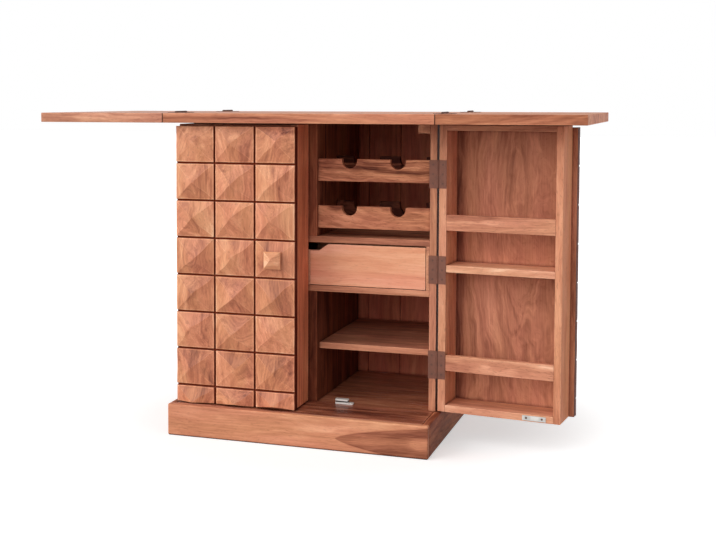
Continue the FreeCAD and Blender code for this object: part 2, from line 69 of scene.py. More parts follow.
# Broad lamps: turn and rise in degrees, and power
LAMPS = {
    "left_lamp": (-56, 22, 1.60),
    "front_lamp": (-15, 26, 1.20),
    "fill_lamp": (12, 6, 0.26),
    "right_lamp": (74, 14, 0.30),
}
LAMP_SPREAD = 60

# An even sky that looks white. Reflections see it turn from a dim room to white, at the back and the left
SKY_LIGHT = (0.34, 0.34, 0.34, 1)
WHITE = (1, 1, 1, 1)
DIM_ROOM = (0.25, 0.25, 0.25, 1)
WHITE_BEHIND = (-0.2, 0.4)
WHITE_LEFT = (-0.35, -0.72)

# A pale floor: the light it throws back, its own colour, and its lift to white near the part and far off
FLOOR_SIZE = 60
FLOOR_BOUNCE = (0.42, 0.42, 0.43, 1)
FLOOR_COLOUR = (0.80, 0.80, 0.80, 1)
FLOOR_LIFT = 0.46
FAR_LIFT = 0.30
FLOOR_NEAR = 0.50
FLOOR_FAR = 1.00

# Rounded edges of boards and metal, and what counts as flat or as an edge, in degrees
BOARD_EDGE = 1.6 * MM
PLINTH_EDGE = 5.0 * MM
METAL_EDGE = 0.25 * MM
FLAT_ANGLE = 2
EDGE_ANGLE = 40

# The mesh of a carved block: shares of the way from rim to tip, and of the way along each side
RING_SHARES = (0.08, 0.18, 0.30, 0.42, 0.54, 0.66, 0.78, 0.88, 0.96)
SIDE_SHARES = (0, 0.02, 0.12, 0.24, 0.37, 0.50, 0.63, 0.76, 0.88, 0.98)

# A block's worn edge: its radius, its steps in degrees, and the stain and pale rim from foot to face, the pale rim
# being wear and a painted highlight
EDGE_ROUND = 1.8 * MM
EDGE_TURNS = (0, 30, 60, 90)
EDGE_STAINS = (1, 1, 0.6, 0, 0)
EDGE_WEAR_AND_HIGHLIGHT = (0, 0, 0, 1, 1)

# Hand work on the blocks: how uneven facets, ridges and outlines are, and how long the waves are
FACET_WAVES = 0.6 * MM
FACET_LENGTH = 32 * MM
RIDGE_DRIFT = 4.5 * MM
RIDGE_LENGTH = 75 * MM
OUTLINE_WAVES = 0.5 * MM
OUTLINE_LENGTH = 60 * MM
RIM_MARGIN = 14 * MM

# The blocks' tips stray and lean to the left, the facets are hollow, and the tips are blunt
APEX_STRAY = 9 * MM
APEX_LEAN = 7 * MM
HOLLOW = 1.22
BLUNT_FROM = 0.85

# How high the blocks of each row are cut, from the top row down
COLUMNS = 3
ROW_RISES = (0.65, 1.1, 1.15, 1.2, 1.05, 0.75, 0.5, 0.7)

# The wood of a block: the tilt of its grain in radians, how far its place in the log varies, and its tone
GRAIN_TILT = 0.6
BLOCK_LOT = (20, 0.05, 0.05)
BLOCK_TONES = (-0.06, 0.10)

# Tones on a block: its pale rim as wear and a painted highlight, a painted highlight on its ridges, and painted
# light and shade on its facets at the bottom, right, top and left
RIM_WEAR_AND_HIGHLIGHT = 0.20
RIDGE_HIGHLIGHT = 0.18
FACET_LIGHT_AND_SHADE = (-0.03, -0.02, -0.06, 0.02)
FACET_STRAY = 0.05

# Knobs: the straight edge of the head, where the tip lies off its middle, and the tones of its facets, which paint
# light on them, most on the left
KNOB_EDGE = 8 * MM
KNOB_TIP = (-1 * MM, 4 * MM)
KNOB_SHARES = (0.2, 0.4, 0.6, 0.8, 0.95)
KNOB_TONES_AND_LIGHT = (0.24, 0.30, 0.24, 0.44)

# Painted shade with grime on a knob's neck, and on the last rings of the block below it
NECK_SHADE_AND_GRIME = 0.75
HALO_SHADE_AND_GRIME = (0.1, 0.25, 0.4)

# Boards that are not glued up from planks, and the upright boards of the back with their grooves
WHOLE = 10.0
BACK_PLANK = 0.106
BACK_GROOVE = 2.2 * MM

# Painted shade in corners between boards: how far it reaches, the rays that look for it, where it starts, and its
# strength
CORNER_REACH = 12 * MM
CORNER_RAYS = 8
CORNER_CLEAR = (0.35, 0.95)
CORNER_SHARE = 0.60

# Edges rubbed pale, as wear and a painted highlight: the raggedness per metre, the least reach, what is added to
# it, and the fading
WEAR_SCALE = 60.0
WEAR_LEAST = -0.5 * MM
WEAR_REACH = 6 * MM
WEAR_FADE = (0.3, 1.0)

# The dark tongue on the plinth's front: its place, its round tip, its tone, and its rim,
# which fades towards the tip
TONGUE_TIP = 0.125
TONGUE_END = 0.391
TONGUE_HEIGHT = 0.037
TONGUE_HALF = 0.050
TONGUE_ROUND = 0.65
TONGUE_EDGE = (-1 * MM, 2 * MM)
TONGUE_TONE = 0.27
TONGUE_RIM = 4 * MM
TONGUE_RIM_TONE = 0.14
TONGUE_RIM_FADE = 0.2

# Strips along the front: the lipping of the top and its leaves, the floor under the doors, a shelf's edge
LIPPING = 12 * MM
LEDGE = 165 * MM
SHELF_EDGE = 4 * MM

# How far a face turns to the right before it starts to count as a right side that gets painted light, and counts
# in full
RIGHT_TURN = (0.5, 0.9)

# Painted shade: how far from the part's middle on the doors' panels, and how far back on the racks
PANEL_SIDES = (0.315, 0.345)
PANEL_SIDE_SHADE = 0.22
RACK_REAR = (-0.06, -0.04)
RACK_REAR_SHADE = 0.35

# Stains, painted shade and grime, and how full they are: stain on the panels from the inner face out, painted
# shade at their free edge, a painted contact shadow on the plinth from the floor up, and grime at the top's seams
STAIN_SHARE = 0.92
PANEL_STAIN = (0.4 * MM, 0.2 * MM)
PANEL_EDGE_SHADE = (0.2 * MM, 0.8 * MM)
PANEL_EDGE_SHADE_SHARE = 0.9
FOOT_SHADOW = (1 * MM, 5 * MM)
FOOT_SHADOW_SHARE = 0.9
SEAM_GRIME = (1.0 * MM, 2.6 * MM)
SEAM_GRIME_SHARE = 0.8

# Depths of the bump of wood and plastic, and the dark band painted as the shade in a catch's slot
WOOD_BUMP = 0.15 * MM
PLASTIC_BUMP = 0.05 * MM
CATCH_SLOT = 4 * MM
CATCH_SLOT_EDGE = 0.2 * MM

# Tarnish on metal, and dirt on plastic: clouds per metre, and how dark and how rough they are
TARNISH_SCALE = 45.0
TARNISH_STEP = (0.35, 0.65)
TARNISH_DARK = 0.78
TARNISH_ROUGH = 0.25
PLASTIC_SCALE = 400.0
PLASTIC_DIRT = 0.15
PLASTIC_ROUGH = 0.4


def colour(red, green, blue):
    """A display colour from 0 to 255 as the linear colour that shaders take."""
    shares = [value / 255 for value in (red, green, blue)]
    linear = [s / 12.92 if s <= 0.04045 else ((s + 0.055) / 1.055) ** 2.4 for s in shares]
    return (*linear, 1)


# Wood from its darkest streaks to its palest ones: place on the ramp, and colour
WOOD_RAMP = (
    (0.00, colour(74, 34, 25)),
    (0.20, colour(132, 73, 52)),
    (0.42, colour(184, 113, 82)),
    (0.62, colour(213, 140, 103)),
    (0.82, colour(235, 167, 128)),
    (1.00, colour(250, 194, 156)),
)
# Grime in the top's seams, also the colour of painted shade: a contact shadow at the plinth's foot, and a catch's
# slot
GRIME_AND_SHADE = colour(52, 30, 22)
GRAIN_LINE = colour(96, 44, 27)
# The stain in the grooves, also the colour of the painted shade in corners and round the knobs' necks
GROOVE_STAIN_AND_SHADE = colour(122, 48, 27)
# Painted shade on the free edge of the doors' panels
EDGE_SHADE = colour(86, 34, 24)

# Tints that the wood is multiplied by: rosy and golden hues, and a warm side, which is painted warm bounce light
# on faces that look to the right
ROSY = (1.02, 0.96, 0.98, 1)
GOLDEN = (1.00, 1.02, 0.95, 1)
WARM_BOUNCE_LIGHT = (1.0, 0.72, 0.62, 1)

# Planks in the log: how far apart they are cut along, across and into it, and how deep its heart lies.
# Each has a key, by seed and by number, that its place and its tone come from
SEEDS = 90
PLANK_STEP = 1.37
LOT_REACH = (40.0, 0.20, 0.09)
HEART_DEPTH = 0.06

# The wood's middle tone, and how far planks differ in theirs
MIDDLE_TONE = 0.55
LOT_TONE = 0.18

# How the grain wanders: waves per metre along, across and into the board, and how far
GRAIN_DRIFTS = (((1.0, 5, 5), 0.15), ((7, 18, 18), 0.018), ((24, 36, 36), 0.006))

# Growth rings: how many to a metre of the log, the noise that they are made of, and their strength
RING_RATE = 52.0
RING_NOISE = {"Scale": 1.0, "Detail": 4.0, "Roughness": 0.62}
RING_SWING = 1.5

# Clouds, streaks and short strokes: scales per metre as above, detail, and strength
GRAIN_LAYERS = (
    ((3.0, 13.0, 13.0), 1.0, 1.1),
    ((3.2, 52.0, 52.0), 4.0, 1.2),
    ((16.0, 150.0, 150.0), 2.0, 0.7),
)

# Patterns in the wood: scales per metre as above, and detail
FIGURE = ((1.9, 10.0, 10.0), 1.0)
HEARTWOOD = ((1.9, 23.0, 23.0), 4.0)
FLECKS = ((7.0, 26.0, 26.0), 3.0)
FIBRES = ((10.0, 380.0, 380.0), 2.0)
PORES = ((60.0, 420.0, 420.0), 1.0)
HUES = ((3.0, 17.0, 17.0), 1.0)

# Where those patterns begin and end in their noise, and what the figure leaves of the rings
FIGURE_STEP = (0.36, 0.66, 0.2, 1.0)
HEARTWOOD_STEP = (0.56, 0.66)
FLECK_STEP = (0.56, 0.70)
PORE_STEP = (0.60, 0.70)
HUE_STEP = (0.3, 0.7)

# What those patterns add to the tone, and how full the pores and the glue lines are
HEARTWOOD_TONE = -0.34
FLECK_TONE = 0.26
FIBRE_TONE = 0.22
PORE_SHARE = 0.5
GLUE_LINE = 0.9 * MM
GLUE_SHARE = 0.55

# Roughness of the wood between fibres and what fibres add, and how far fibres stand out
LEAST_ROUGH = 0.34
FIBRE_ROUGH = 0.20
FIBRE_HEIGHT = 0.6

# The middle of a noise's colour
HALF = (0.5, 0.5, 0.5)


class Graph:
    """Short ways to add and join the nodes of one shader tree."""

    def __init__(self, tree):
        self.tree = tree
        tree.nodes.clear()

    def feed(self, socket, value):
        """Join a socket to another node's output, or set its value."""
        if isinstance(value, bpy.types.NodeSocket):
            self.tree.links.new(value, socket)
        else:
            socket.default_value = value

    def node(self, kind, inputs=None, **settings):
        """A node with its settings, and its inputs by name or number."""
        made = self.tree.nodes.new("ShaderNode" + kind)
        for name, value in settings.items():
            setattr(made, name, value)
        for key, value in (inputs or {}).items():
            self.feed(made.inputs[key], value)
        return made

    def math(self, operation, *values, clamp=False):
        """A number worked out from numbers."""
        made = self.node("Math", operation=operation, use_clamp=clamp)
        for socket, value in zip(made.inputs, values):
            self.feed(socket, value)
        return made.outputs[0]

    def vector(self, operation, *values):
        """A vector worked out from vectors."""
        made = self.node("VectorMath", operation=operation)
        for socket, value in zip(made.inputs, values):
            self.feed(socket, value)
        return made.outputs[0]

    def median(self, a, b, c):
        """The middle one of three numbers."""
        lower = self.math("MINIMUM", a, b)
        upper = self.math("MAXIMUM", a, b)
        return self.math("MAXIMUM", lower, self.math("MINIMUM", upper, c))

    def centred(self, value):
        """A number from 0 to 1 moved so that its middle is zero."""
        return self.math("SUBTRACT", value, 0.5)

    def split(self, vector):
        """The three numbers of a vector."""
        return self.node("SeparateXYZ", {0: vector}).outputs[:]

    def join(self, x, y, z):
        """A vector from three numbers."""
        return self.node("CombineXYZ", {0: x, 1: y, 2: z}).outputs[0]

    def step(self, value, low, high, at_low=0.0, at_high=1.0):
        """A smooth step from one value to another between low and high."""
        inputs = {"Value": value, "From Min": low, "From Max": high, "To Min": at_low, "To Max": at_high}
        return self.node("MapRange", inputs, interpolation_type="SMOOTHSTEP").outputs[0]

    def mix(self, share, first, second, blend="MIX"):
        """A colour between two, or two colours blended."""
        made = self.node("Mix", data_type="RGBA", blend_type=blend)
        for name, value in (("Factor_Float", share), ("A_Color", first), ("B_Color", second)):
            self.feed(next(s for s in made.inputs if s.identifier == name), value)
        return next(s for s in made.outputs if s.identifier == "Result_Color")

    def noise(self, vector, scale, detail):
        """Cloudy noise at a vector: the node, with outputs Fac and Color."""
        return self.node("TexNoise", {"Vector": vector, "Scale": scale, "Detail": detail, "Roughness": 0.5})

    def stretched(self, vector, scales, detail):
        """Cloudy noise with its own scale on each axis, per metre."""
        return self.noise(self.vector("MULTIPLY", vector, scales), 1.0, detail).outputs["Fac"]


def place_in_log(graph, given):
    """The point in the log, its distance from the plank's middle, and the plank's own number from 0 to 1.

    Each plank is cut from another place in the log.
    """
    along, across, deep = graph.split(given["Vector"])
    number = graph.math("ROUND", graph.math("DIVIDE", across, given["Plank"]))
    in_plank = graph.math("SUBTRACT", across, graph.math("MULTIPLY", number, given["Plank"]))
    key = graph.math("ADD", graph.math("MULTIPLY", number, PLANK_STEP), given["Seed"])
    lot = graph.node("TexWhiteNoise", {"W": key}, noise_dimensions="1D").outputs
    lot_x, lot_y, lot_z = graph.split(graph.vector("SUBTRACT", lot["Color"], HALF))
    x = graph.math("MULTIPLY_ADD", lot_x, LOT_REACH[0], along)
    y = graph.math("MULTIPLY_ADD", lot_y, LOT_REACH[1], in_plank)
    z = graph.math("ADD", graph.math("MULTIPLY_ADD", lot_z, LOT_REACH[2], deep), HEART_DEPTH)
    return graph.join(x, y, z), in_plank, lot["Value"]


def wander(graph, place, bend):
    """A place in the log moved as the grain wanders: slowly, in waves, and in small curls."""
    bent = place
    for scales, reach in GRAIN_DRIFTS:
        drift = graph.noise(graph.vector("MULTIPLY", place, scales), 1.0, 1.0).outputs["Color"]
        drift = graph.vector("SUBTRACT", drift, HALF)
        reach = graph.math("MULTIPLY", bend, reach)
        bent = graph.vector("ADD", bent, graph.vector("MULTIPLY", drift, graph.join(0, reach, reach)))
    return bent


def grain_swing(graph, place, bent, seed):
    """Rings that come and go, clouds, streaks and short strokes, about a middle of zero."""
    _, ring_y, ring_z = graph.split(bent)
    squares = graph.math("ADD", graph.math("POWER", ring_y, 2.0), graph.math("POWER", ring_z, 2.0))
    ring_place = graph.math("MULTIPLY_ADD", graph.math("SQRT", squares), RING_RATE, seed)
    ring = graph.node("TexNoise", {"W": ring_place, **RING_NOISE}, noise_dimensions="1D").outputs["Fac"]
    figure = graph.step(graph.stretched(place, *FIGURE), *FIGURE_STEP)
    swing = graph.math("MULTIPLY", graph.math("MULTIPLY", graph.centred(ring), RING_SWING), figure)
    for scales, detail, weight in GRAIN_LAYERS:
        layer = graph.centred(graph.stretched(bent, scales, detail))
        swing = graph.math("MULTIPLY_ADD", layer, weight, swing)
    return swing


def make_wood_group():
    """Solid wood with clouds, streaks along the grain, arcs of growth rings and dark heartwood.

    The vector is the point in the board: x along the grain, y across the board, z into its thickness.
    """
    tree = bpy.data.node_groups.new("wood", "ShaderNodeTree")
    graph = Graph(tree)
    for name in ("Vector", "Seed", "Plank", "Tone", "Contrast", "Streaks", "Bend"):
        kind = "NodeSocketVector" if name == "Vector" else "NodeSocketFloat"
        tree.interface.new_socket(name=name, in_out="INPUT", socket_type=kind)
    for name, kind in (("Color", "Color"), ("Roughness", "Float"), ("Height", "Float")):
        tree.interface.new_socket(name=name, in_out="OUTPUT", socket_type="NodeSocket" + kind)
    given = tree.nodes.new("NodeGroupInput").outputs
    place, in_plank, lot = place_in_log(graph, given)
    bent = wander(graph, place, given["Bend"])

    # The tone: the plank's own, the grain, dark heartwood, pale flecks and fibres
    heartwood = graph.step(graph.stretched(bent, *HEARTWOOD), *HEARTWOOD_STEP)
    fleck = graph.step(graph.stretched(bent, *FLECKS), *FLECK_STEP)
    fibre = graph.stretched(place, *FIBRES)
    swing = graph.math("MULTIPLY", grain_swing(graph, place, bent, given["Seed"]), given["Contrast"])
    lot_tone = graph.math("MULTIPLY_ADD", graph.centred(lot), LOT_TONE, MIDDLE_TONE)
    level = graph.math("ADD", graph.math("ADD", swing, lot_tone), given["Tone"])
    darker = graph.math("MULTIPLY", heartwood, given["Streaks"])
    level = graph.math("MULTIPLY_ADD", darker, HEARTWOOD_TONE, level)
    paler = graph.math("MULTIPLY", fleck, given["Contrast"])
    level = graph.math("MULTIPLY_ADD", paler, FLECK_TONE, level)
    level = graph.math("MULTIPLY_ADD", graph.centred(fibre), FIBRE_TONE, level)

    # The colour: the tone on the ramp, a tint, pores, and glue lines between planks
    ramp = graph.node("ValToRGB", {"Fac": level})
    fill_ramp(ramp.color_ramp, WOOD_RAMP)
    hue = graph.step(graph.stretched(place, *HUES), *HUE_STEP)
    paint = graph.mix(1.0, ramp.outputs["Color"], graph.mix(hue, ROSY, GOLDEN), "MULTIPLY")
    pore = graph.step(graph.stretched(bent, *PORES), *PORE_STEP)
    pore_share = graph.math("MULTIPLY", pore, graph.math("MULTIPLY", given["Contrast"], PORE_SHARE))
    paint = graph.mix(pore_share, paint, GRAIN_LINE)
    half_plank = graph.math("DIVIDE", given["Plank"], 2.0)
    rim = graph.math("SUBTRACT", half_plank, graph.math("ABSOLUTE", in_plank))
    glue = graph.step(rim, 0.0, GLUE_LINE, 1.0, 0.0)
    paint = graph.mix(graph.math("MULTIPLY", glue, GLUE_SHARE), paint, GRAIN_LINE)

    rough = graph.math("MULTIPLY_ADD", fibre, FIBRE_ROUGH, LEAST_ROUGH)
    raised = graph.math("MULTIPLY", fibre, FIBRE_HEIGHT)
    height = graph.math("SUBTRACT", raised, graph.math("ADD", pore, glue))
    given_back = tree.nodes.new("NodeGroupOutput")
    for name, value in (("Color", paint), ("Roughness", rough), ("Height", height)):
        tree.links.new(value, given_back.inputs[name])
    return tree


def fill_ramp(ramp, stops):
    """Set a colour ramp's places and colours."""
    while len(ramp.elements) < len(stops):
        ramp.elements.new(1.0)
    for element, (place, paint) in zip(ramp.elements, stops):
        element.position = place
        element.color = paint


WOOD = make_wood_group()

# The turn that shuts the right door, which stands open at rest
joint = next(j for j in frame["joints"] if j["name"] == "right_door_hinge")
pivot = Matrix.Translation(joint["pos_m"])
SHUT_TURN = math.radians(joint["range_deg"][0])
TO_SHUT = pivot @ Matrix.Rotation(SHUT_TURN, 4, Vector(joint["axis"])) @ pivot.inverted()


def is_swung(name):
    """Whether a piece belongs to the right door."""
    return name.startswith("right_door")


def part_point(graph, name):
    """The point of a node in the part's frame, with the right door shut."""
    point = graph.node("TexCoord").outputs["Object"]
    if not is_swung(name):
        return point
    turn = {"Vector": point, "Location": TO_SHUT.translation, "Rotation": (0, 0, SHUT_TURN)}
    return graph.node("Mapping", turn).outputs[0]


def new_material(name):
    """An empty material and its graph."""
    material = bpy.data.materials.new(name)
    material.use_nodes = True
    return material, Graph(material.node_tree)


def finish_material(graph, inputs, height=None, depth=0.0):
    """The shader with its inputs and a bump of a given depth, joined to the output."""
    if height is not None:
        bump = graph.node("Bump", {"Height": height, "Distance": depth, "Strength": 1.0})
        inputs = {**inputs, "Normal": bump.outputs[0]}
    shader = graph.node("BsdfPrincipled", inputs)
    graph.node("OutputMaterial", {"Surface": shader.outputs[0]})


def wood_inputs(graph, vector, seed, tone, contrast, streaks, plank, bend):
    """The wood group at a place in a board."""
    wood = graph.node("Group", node_tree=WOOD)
    values = {"Vector": vector, "Seed": seed, "Plank": plank}
    values.update({"Tone": tone, "Contrast": contrast, "Streaks": streaks, "Bend": bend})
    for name, value in values.items():
        graph.feed(wood.inputs[name], value)
    return wood.outputs


def finish_wood(graph, wood, paint, gloss, polish=0.0):
    """Oiled wood with a given gloss, and smoother where it is polished."""
    roughness = graph.math("SUBTRACT", wood["Roughness"], polish)
    inputs = {"Base Color": paint, "Roughness": roughness, "Specular IOR Level": gloss}
    finish_material(graph, inputs, wood["Height"], WOOD_BUMP)


def tongue(graph, along, up):
    """The dark tongue of heartwood at the right end of the plinth's front."""
    past_tip = graph.math("SUBTRACT", along, TONGUE_TIP)
    share = graph.math("DIVIDE", past_tip, TONGUE_END - TONGUE_TIP, clamp=True)
    half = graph.math("MULTIPLY", graph.math("POWER", share, TONGUE_ROUND), TONGUE_HALF)
    off = graph.math("ABSOLUTE", graph.math("SUBTRACT", up, TONGUE_HEIGHT))
    inside = graph.math("SUBTRACT", half, off)
    body = graph.step(inside, *TONGUE_EDGE, 0.0, TONGUE_TONE)
    rim = graph.step(graph.math("ABSOLUTE", inside), 0.0, TONGUE_RIM, TONGUE_RIM_TONE, 0.0)
    rim = graph.math("MULTIPLY", rim, graph.step(share, 0.0, TONGUE_RIM_FADE))
    return graph.math("ADD", body, rim)


def local_tone(graph, name, tone, axes):
    """A board's tone, darker in the places that only some boards have: the plinth's tongue, and painted shade on
    the doors' panels and at the back of the racks.
    """
    along, deep, up = axes
    if name == "plinth_front":
        return graph.math("SUBTRACT", tone, tongue(graph, along, up))
    # Painted shade on the doors' panels, far from the part's middle
    if name.endswith("face_panel"):
        side = graph.step(graph.math("ABSOLUTE", along), *PANEL_SIDES, 0.0, PANEL_SIDE_SHADE)
        return graph.math("SUBTRACT", tone, side)
    # Painted shade at the back of the racks
    if name.endswith("bottle_racks"):
        return graph.math("SUBTRACT", tone, graph.step(deep, *RACK_REAR, 0.0, RACK_REAR_SHADE))
    return tone


def local_stain_and_shade(graph, name, paint, axes):
    """A board's paint with stains behind the carved blocks, painted shade on the panels' free edge, a painted
    contact shadow at the plinth's foot, and grime in the top's seams.
    """
    along, deep, up = axes
    if name.endswith("face_panel"):
        free_edge, inner_face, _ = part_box("left_door_face_panel")[1]
        start, end = PANEL_STAIN
        outside = graph.step(deep, inner_face - start, inner_face - end, STAIN_SHARE, 0.0)
        paint = graph.mix(outside, paint, GROOVE_STAIN_AND_SHADE)
        # Painted shade on the panel's free edge
        from_edge = graph.math("ADD", graph.math("ABSOLUTE", along), free_edge)
        paint = graph.mix(graph.step(from_edge, *PANEL_EDGE_SHADE, PANEL_EDGE_SHADE_SHARE, 0.0), paint, EDGE_SHADE)
    # A painted contact shadow along the plinth's foot
    if name.startswith("plinth"):
        paint = graph.mix(graph.step(up, *FOOT_SHADOW, FOOT_SHADOW_SHARE, 0.0), paint, GRIME_AND_SHADE)
    if name in SEAMED:
        off = graph.math("SUBTRACT", graph.math("ABSOLUTE", along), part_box("top_panel")[1][0])
        seam = graph.step(graph.math("ABSOLUTE", off), *SEAM_GRIME, SEAM_GRIME_SHARE, 0.0)
        paint = graph.mix(seam, paint, GRIME_AND_SHADE)
    return paint


def edge_wear_and_highlight(graph, name, axes):
    """How far a board is rubbed pale at its edges, as wear and a painted highlight, from 0 to 1: steady, but
    uneven.
    """
    solids = solids_of(name)
    if len(solids) > 1:
        return 0.0
    low, high = solids[0].min(0), solids[0].max(0)
    off = []
    for axis, a, b in zip(axes, low, high):
        off.append(graph.math("MINIMUM", graph.math("SUBTRACT", axis, a), graph.math("SUBTRACT", b, axis)))
    ragged = graph.noise(graph.join(*axes), WEAR_SCALE, 2.0).outputs["Fac"]
    reach = graph.math("MULTIPLY_ADD", ragged, WEAR_REACH, WEAR_LEAST)
    return graph.step(graph.math("DIVIDE", graph.median(*off), reach), *WEAR_FADE, 1.0, 0.0)


def facing_right(graph):
    """1 on faces that look to the right of the part at rest, and 0 on the others."""
    across = graph.split(graph.node("TexCoord").outputs["Normal"])[0]
    return graph.step(across, *RIGHT_TURN)


def painted_corner_shade(graph):
    """How much painted shade darkens the corners between boards, from 0 to CORNER_SHARE."""
    near = graph.node("AmbientOcclusion", {"Distance": CORNER_REACH}, samples=CORNER_RAYS)
    return graph.step(near.outputs["AO"], *CORNER_CLEAR, CORNER_SHARE, 0.0)


# The part's axes along the grain, across the board and into its thickness
GRAIN_ORDER = {
    "x": (0, 2, 1),
    "flat": (0, 1, 2),
    "y": (1, 0, 2),
    "z": (2, 0, 1),
    "upright": (2, 1, 0),
}


def board_material(name, grain, tone=0.0, side_tone=0.0, contrast=0.45, streaks=0.25, plank=WHOLE,
                   gloss=0.04, polish=0.0, wear=0.10, richness=0.93, hue=0.5, bend=1.0, front_tone=0.0,
                   front_reach=LIPPING):
    """Wood for one node, cut in one of the ways of GRAIN_ORDER.

    A side tone is painted light on faces that look to the right, which also get painted warm bounce light if it is
    paler. A front tone is for the strip along the front of the board, as deep as its reach.
    """
    material, graph = new_material(name + "_wood")
    axes = graph.split(part_point(graph, name))
    tone = local_tone(graph, name, tone, axes)
    if front_tone:
        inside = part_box(name)[0][1] + front_reach
        tone = graph.math("ADD", tone, graph.step(axes[1], inside - MM, inside, front_tone, 0.0))
    # Painted light on faces that look to the right
    sideways = facing_right(graph)
    tone = graph.math("MULTIPLY_ADD", sideways, side_tone, tone)
    # Edges rubbed pale, as wear and a painted highlight
    tone = graph.math("MULTIPLY_ADD", edge_wear_and_highlight(graph, name, axes), wear, tone)
    vector = graph.join(*(axes[number] for number in GRAIN_ORDER[grain]))
    seed = random.Random(name).uniform(0, SEEDS)
    wood = wood_inputs(graph, vector, seed, tone, contrast, streaks, plank, bend)
    toned = {"Hue": hue, "Saturation": richness, "Color": wood["Color"]}
    paint = graph.node("HueSaturation", toned).outputs[0]
    # Painted warm bounce light on faces that look to the right
    if side_tone > 0:
        paint = graph.mix(sideways, paint, WARM_BOUNCE_LIGHT, "MULTIPLY")
    # Painted shade in the corners between boards
    paint = graph.mix(painted_corner_shade(graph), paint, GROOVE_STAIN_AND_SHADE, "MULTIPLY")
    finish_wood(graph, wood, local_stain_and_shade(graph, name, paint, axes), gloss, polish)
    return material


def carved_material(name, contrast=0.44, streaks=0.45, gloss=0.30, polish=0.06, bend=1.8):
    """Wood for hand-made pieces, whose meshes carry their place in the log, their tone with painted light and
    highlights, and their stain with painted shade round the knobs.
    """
    material, graph = new_material(name + "_wood")
    vector = graph.node("Attribute", attribute_name="grain").outputs["Vector"]
    # Tone with painted light and highlights, and stain with painted shade and grime round the knobs' necks
    tone = graph.node("Attribute", attribute_name="tone").outputs["Fac"]
    stain = graph.node("Attribute", attribute_name="stain").outputs["Fac"]
    wood = wood_inputs(graph, vector, 0.0, tone, contrast, streaks, WHOLE, bend)
    paint = graph.mix(graph.math("MULTIPLY", stain, STAIN_SHARE), wood["Color"], GROOVE_STAIN_AND_SHADE)
    finish_wood(graph, wood, paint, gloss, polish)
    return material


def soften(piece, width, segments=2):
    """Rounds a node's hard edges."""
    weld = piece.modifiers.new("weld", "WELD")
    weld.merge_threshold = SAME_POINT
    flat = piece.modifiers.new("flat", "DECIMATE")
    flat.decimate_type = "DISSOLVE"
    flat.angle_limit = math.radians(FLAT_ANGLE)
    edges = piece.modifiers.new("edges", "BEVEL")
    edges.width = width
    edges.segments = segments
    edges.limit_method = "ANGLE"
    edges.angle_limit = math.radians(EDGE_ANGLE)
    piece.modifiers.new("normals", "WEIGHTED_NORMAL")


# Boards that meet at the top's seams, and how boards are cut, by words in their names
SEAMED = ("top_panel", "left_leaf_panel", "right_leaf_panel")
VERTICAL = ("stile", "face_panel", "back_panel")
UPRIGHT = ("side_panel", "divider")
FRONT_TO_BACK = ("plinth_sides", "drawer_sides", "drawer_guide", "top_corner_blocks")
LYING = ("top_panel", "leaf_panel", "cabinet_floor", "lower_shelf", "deck", "cover", "drawer_bottom")
EDGE_WIDTHS = {"plinth_front": PLINTH_EDGE, "plinth_sides": PLINTH_EDGE, "plinth_back": PLINTH_EDGE}


def grain_of(name):
    """The way in which a board is cut."""
    if any(word in name for word in VERTICAL):
        return "z"
    if any(word in name for word in UPRIGHT):
        return "upright"
    if any(word in name for word in FRONT_TO_BACK):
        return "y"
    return "flat" if any(word in name for word in LYING) else "x"


# Looks that boards share: the glued-up top, the pale drawer, the dark dividers and the doors' rails
TOP_LOOK = {"tone": 0.04, "plank": 0.140, "richness": 0.97}
DRAWER_LOOK = {"tone": 0.28, "contrast": 0.22, "streaks": 0.0, "richness": 1.0, "hue": 0.491}
DIVIDER_LOOK = {"contrast": 0.3, "richness": 1.0}
RAIL_LOOK = {"contrast": 0.52, "streaks": 0.3}

# How boards differ from plain wood, by the last words of their names. The first that fits counts
BOARD_LOOKS = {
    # Pale edges on the plinth's front are wear and a painted highlight
    "plinth_front": {"tone": 0.14, "contrast": 0.36, "wear": 0.20, "richness": 0.96},
    "plinth_sides": {"tone": -0.16, "richness": 1.0, "gloss": 0.02},
    "cabinet_floor": {"tone": -0.15, "front_tone": -0.14, "front_reach": LEDGE, "plank": 0.140,
                      "gloss": 0.4, "polish": 0.20, "richness": 0.97},
    "top_panel": {**TOP_LOOK, "front_tone": -0.14, "gloss": 0.1},
    "left_leaf_panel": {**TOP_LOOK, "front_tone": -0.04, "gloss": 0.1, "richness": 0.90},
    # Side tones are painted light on faces that look to the right
    "right_leaf_panel": {**TOP_LOOK, "front_tone": -0.29, "side_tone": 0.20},
    "drawer_front": DRAWER_LOOK,
    "fixed_front": DRAWER_LOOK,
    "bottle_racks": {"tone": -0.12, "contrast": 0.72, "streaks": 0.5, "richness": 0.97, "bend": 1.5},
    "side_panel": {"tone": -0.09, "plank": 0.120},
    # The shelf's top is painted in shade, darker than its front edge
    "lower_shelf": {"tone": -0.08, "front_tone": 0.14, "front_reach": SHELF_EDGE, "plank": 0.125},
    "drawer_deck": {"tone": -0.04, "plank": 0.125},
    "drawer_cover": {"tone": -0.14, "plank": 0.125},
    "upper_divider": {**DIVIDER_LOOK, "tone": -0.40},
    "lower_divider": {**DIVIDER_LOOK, "tone": -0.39},
    "door_face_panel": {"tone": -0.10, "contrast": 0.31, "streaks": 0.3, "bend": 2.3},
    "upper_rail": {**RAIL_LOOK, "tone": 0.09},
    "lower_rail": {**RAIL_LOOK, "tone": 0.12},
    "door_shelf": {"tone": 0.29, "contrast": 0.4},
    # Painted light on the stiles' right sides
    "right_door_free_stile": {"tone": -0.06, "side_tone": 0.42, "gloss": 0.02, "richness": 0.96},
    "free_stile": {"tone": 0.04, "side_tone": 0.05},
    "hinge_stile": {"tone": 0.12},
}
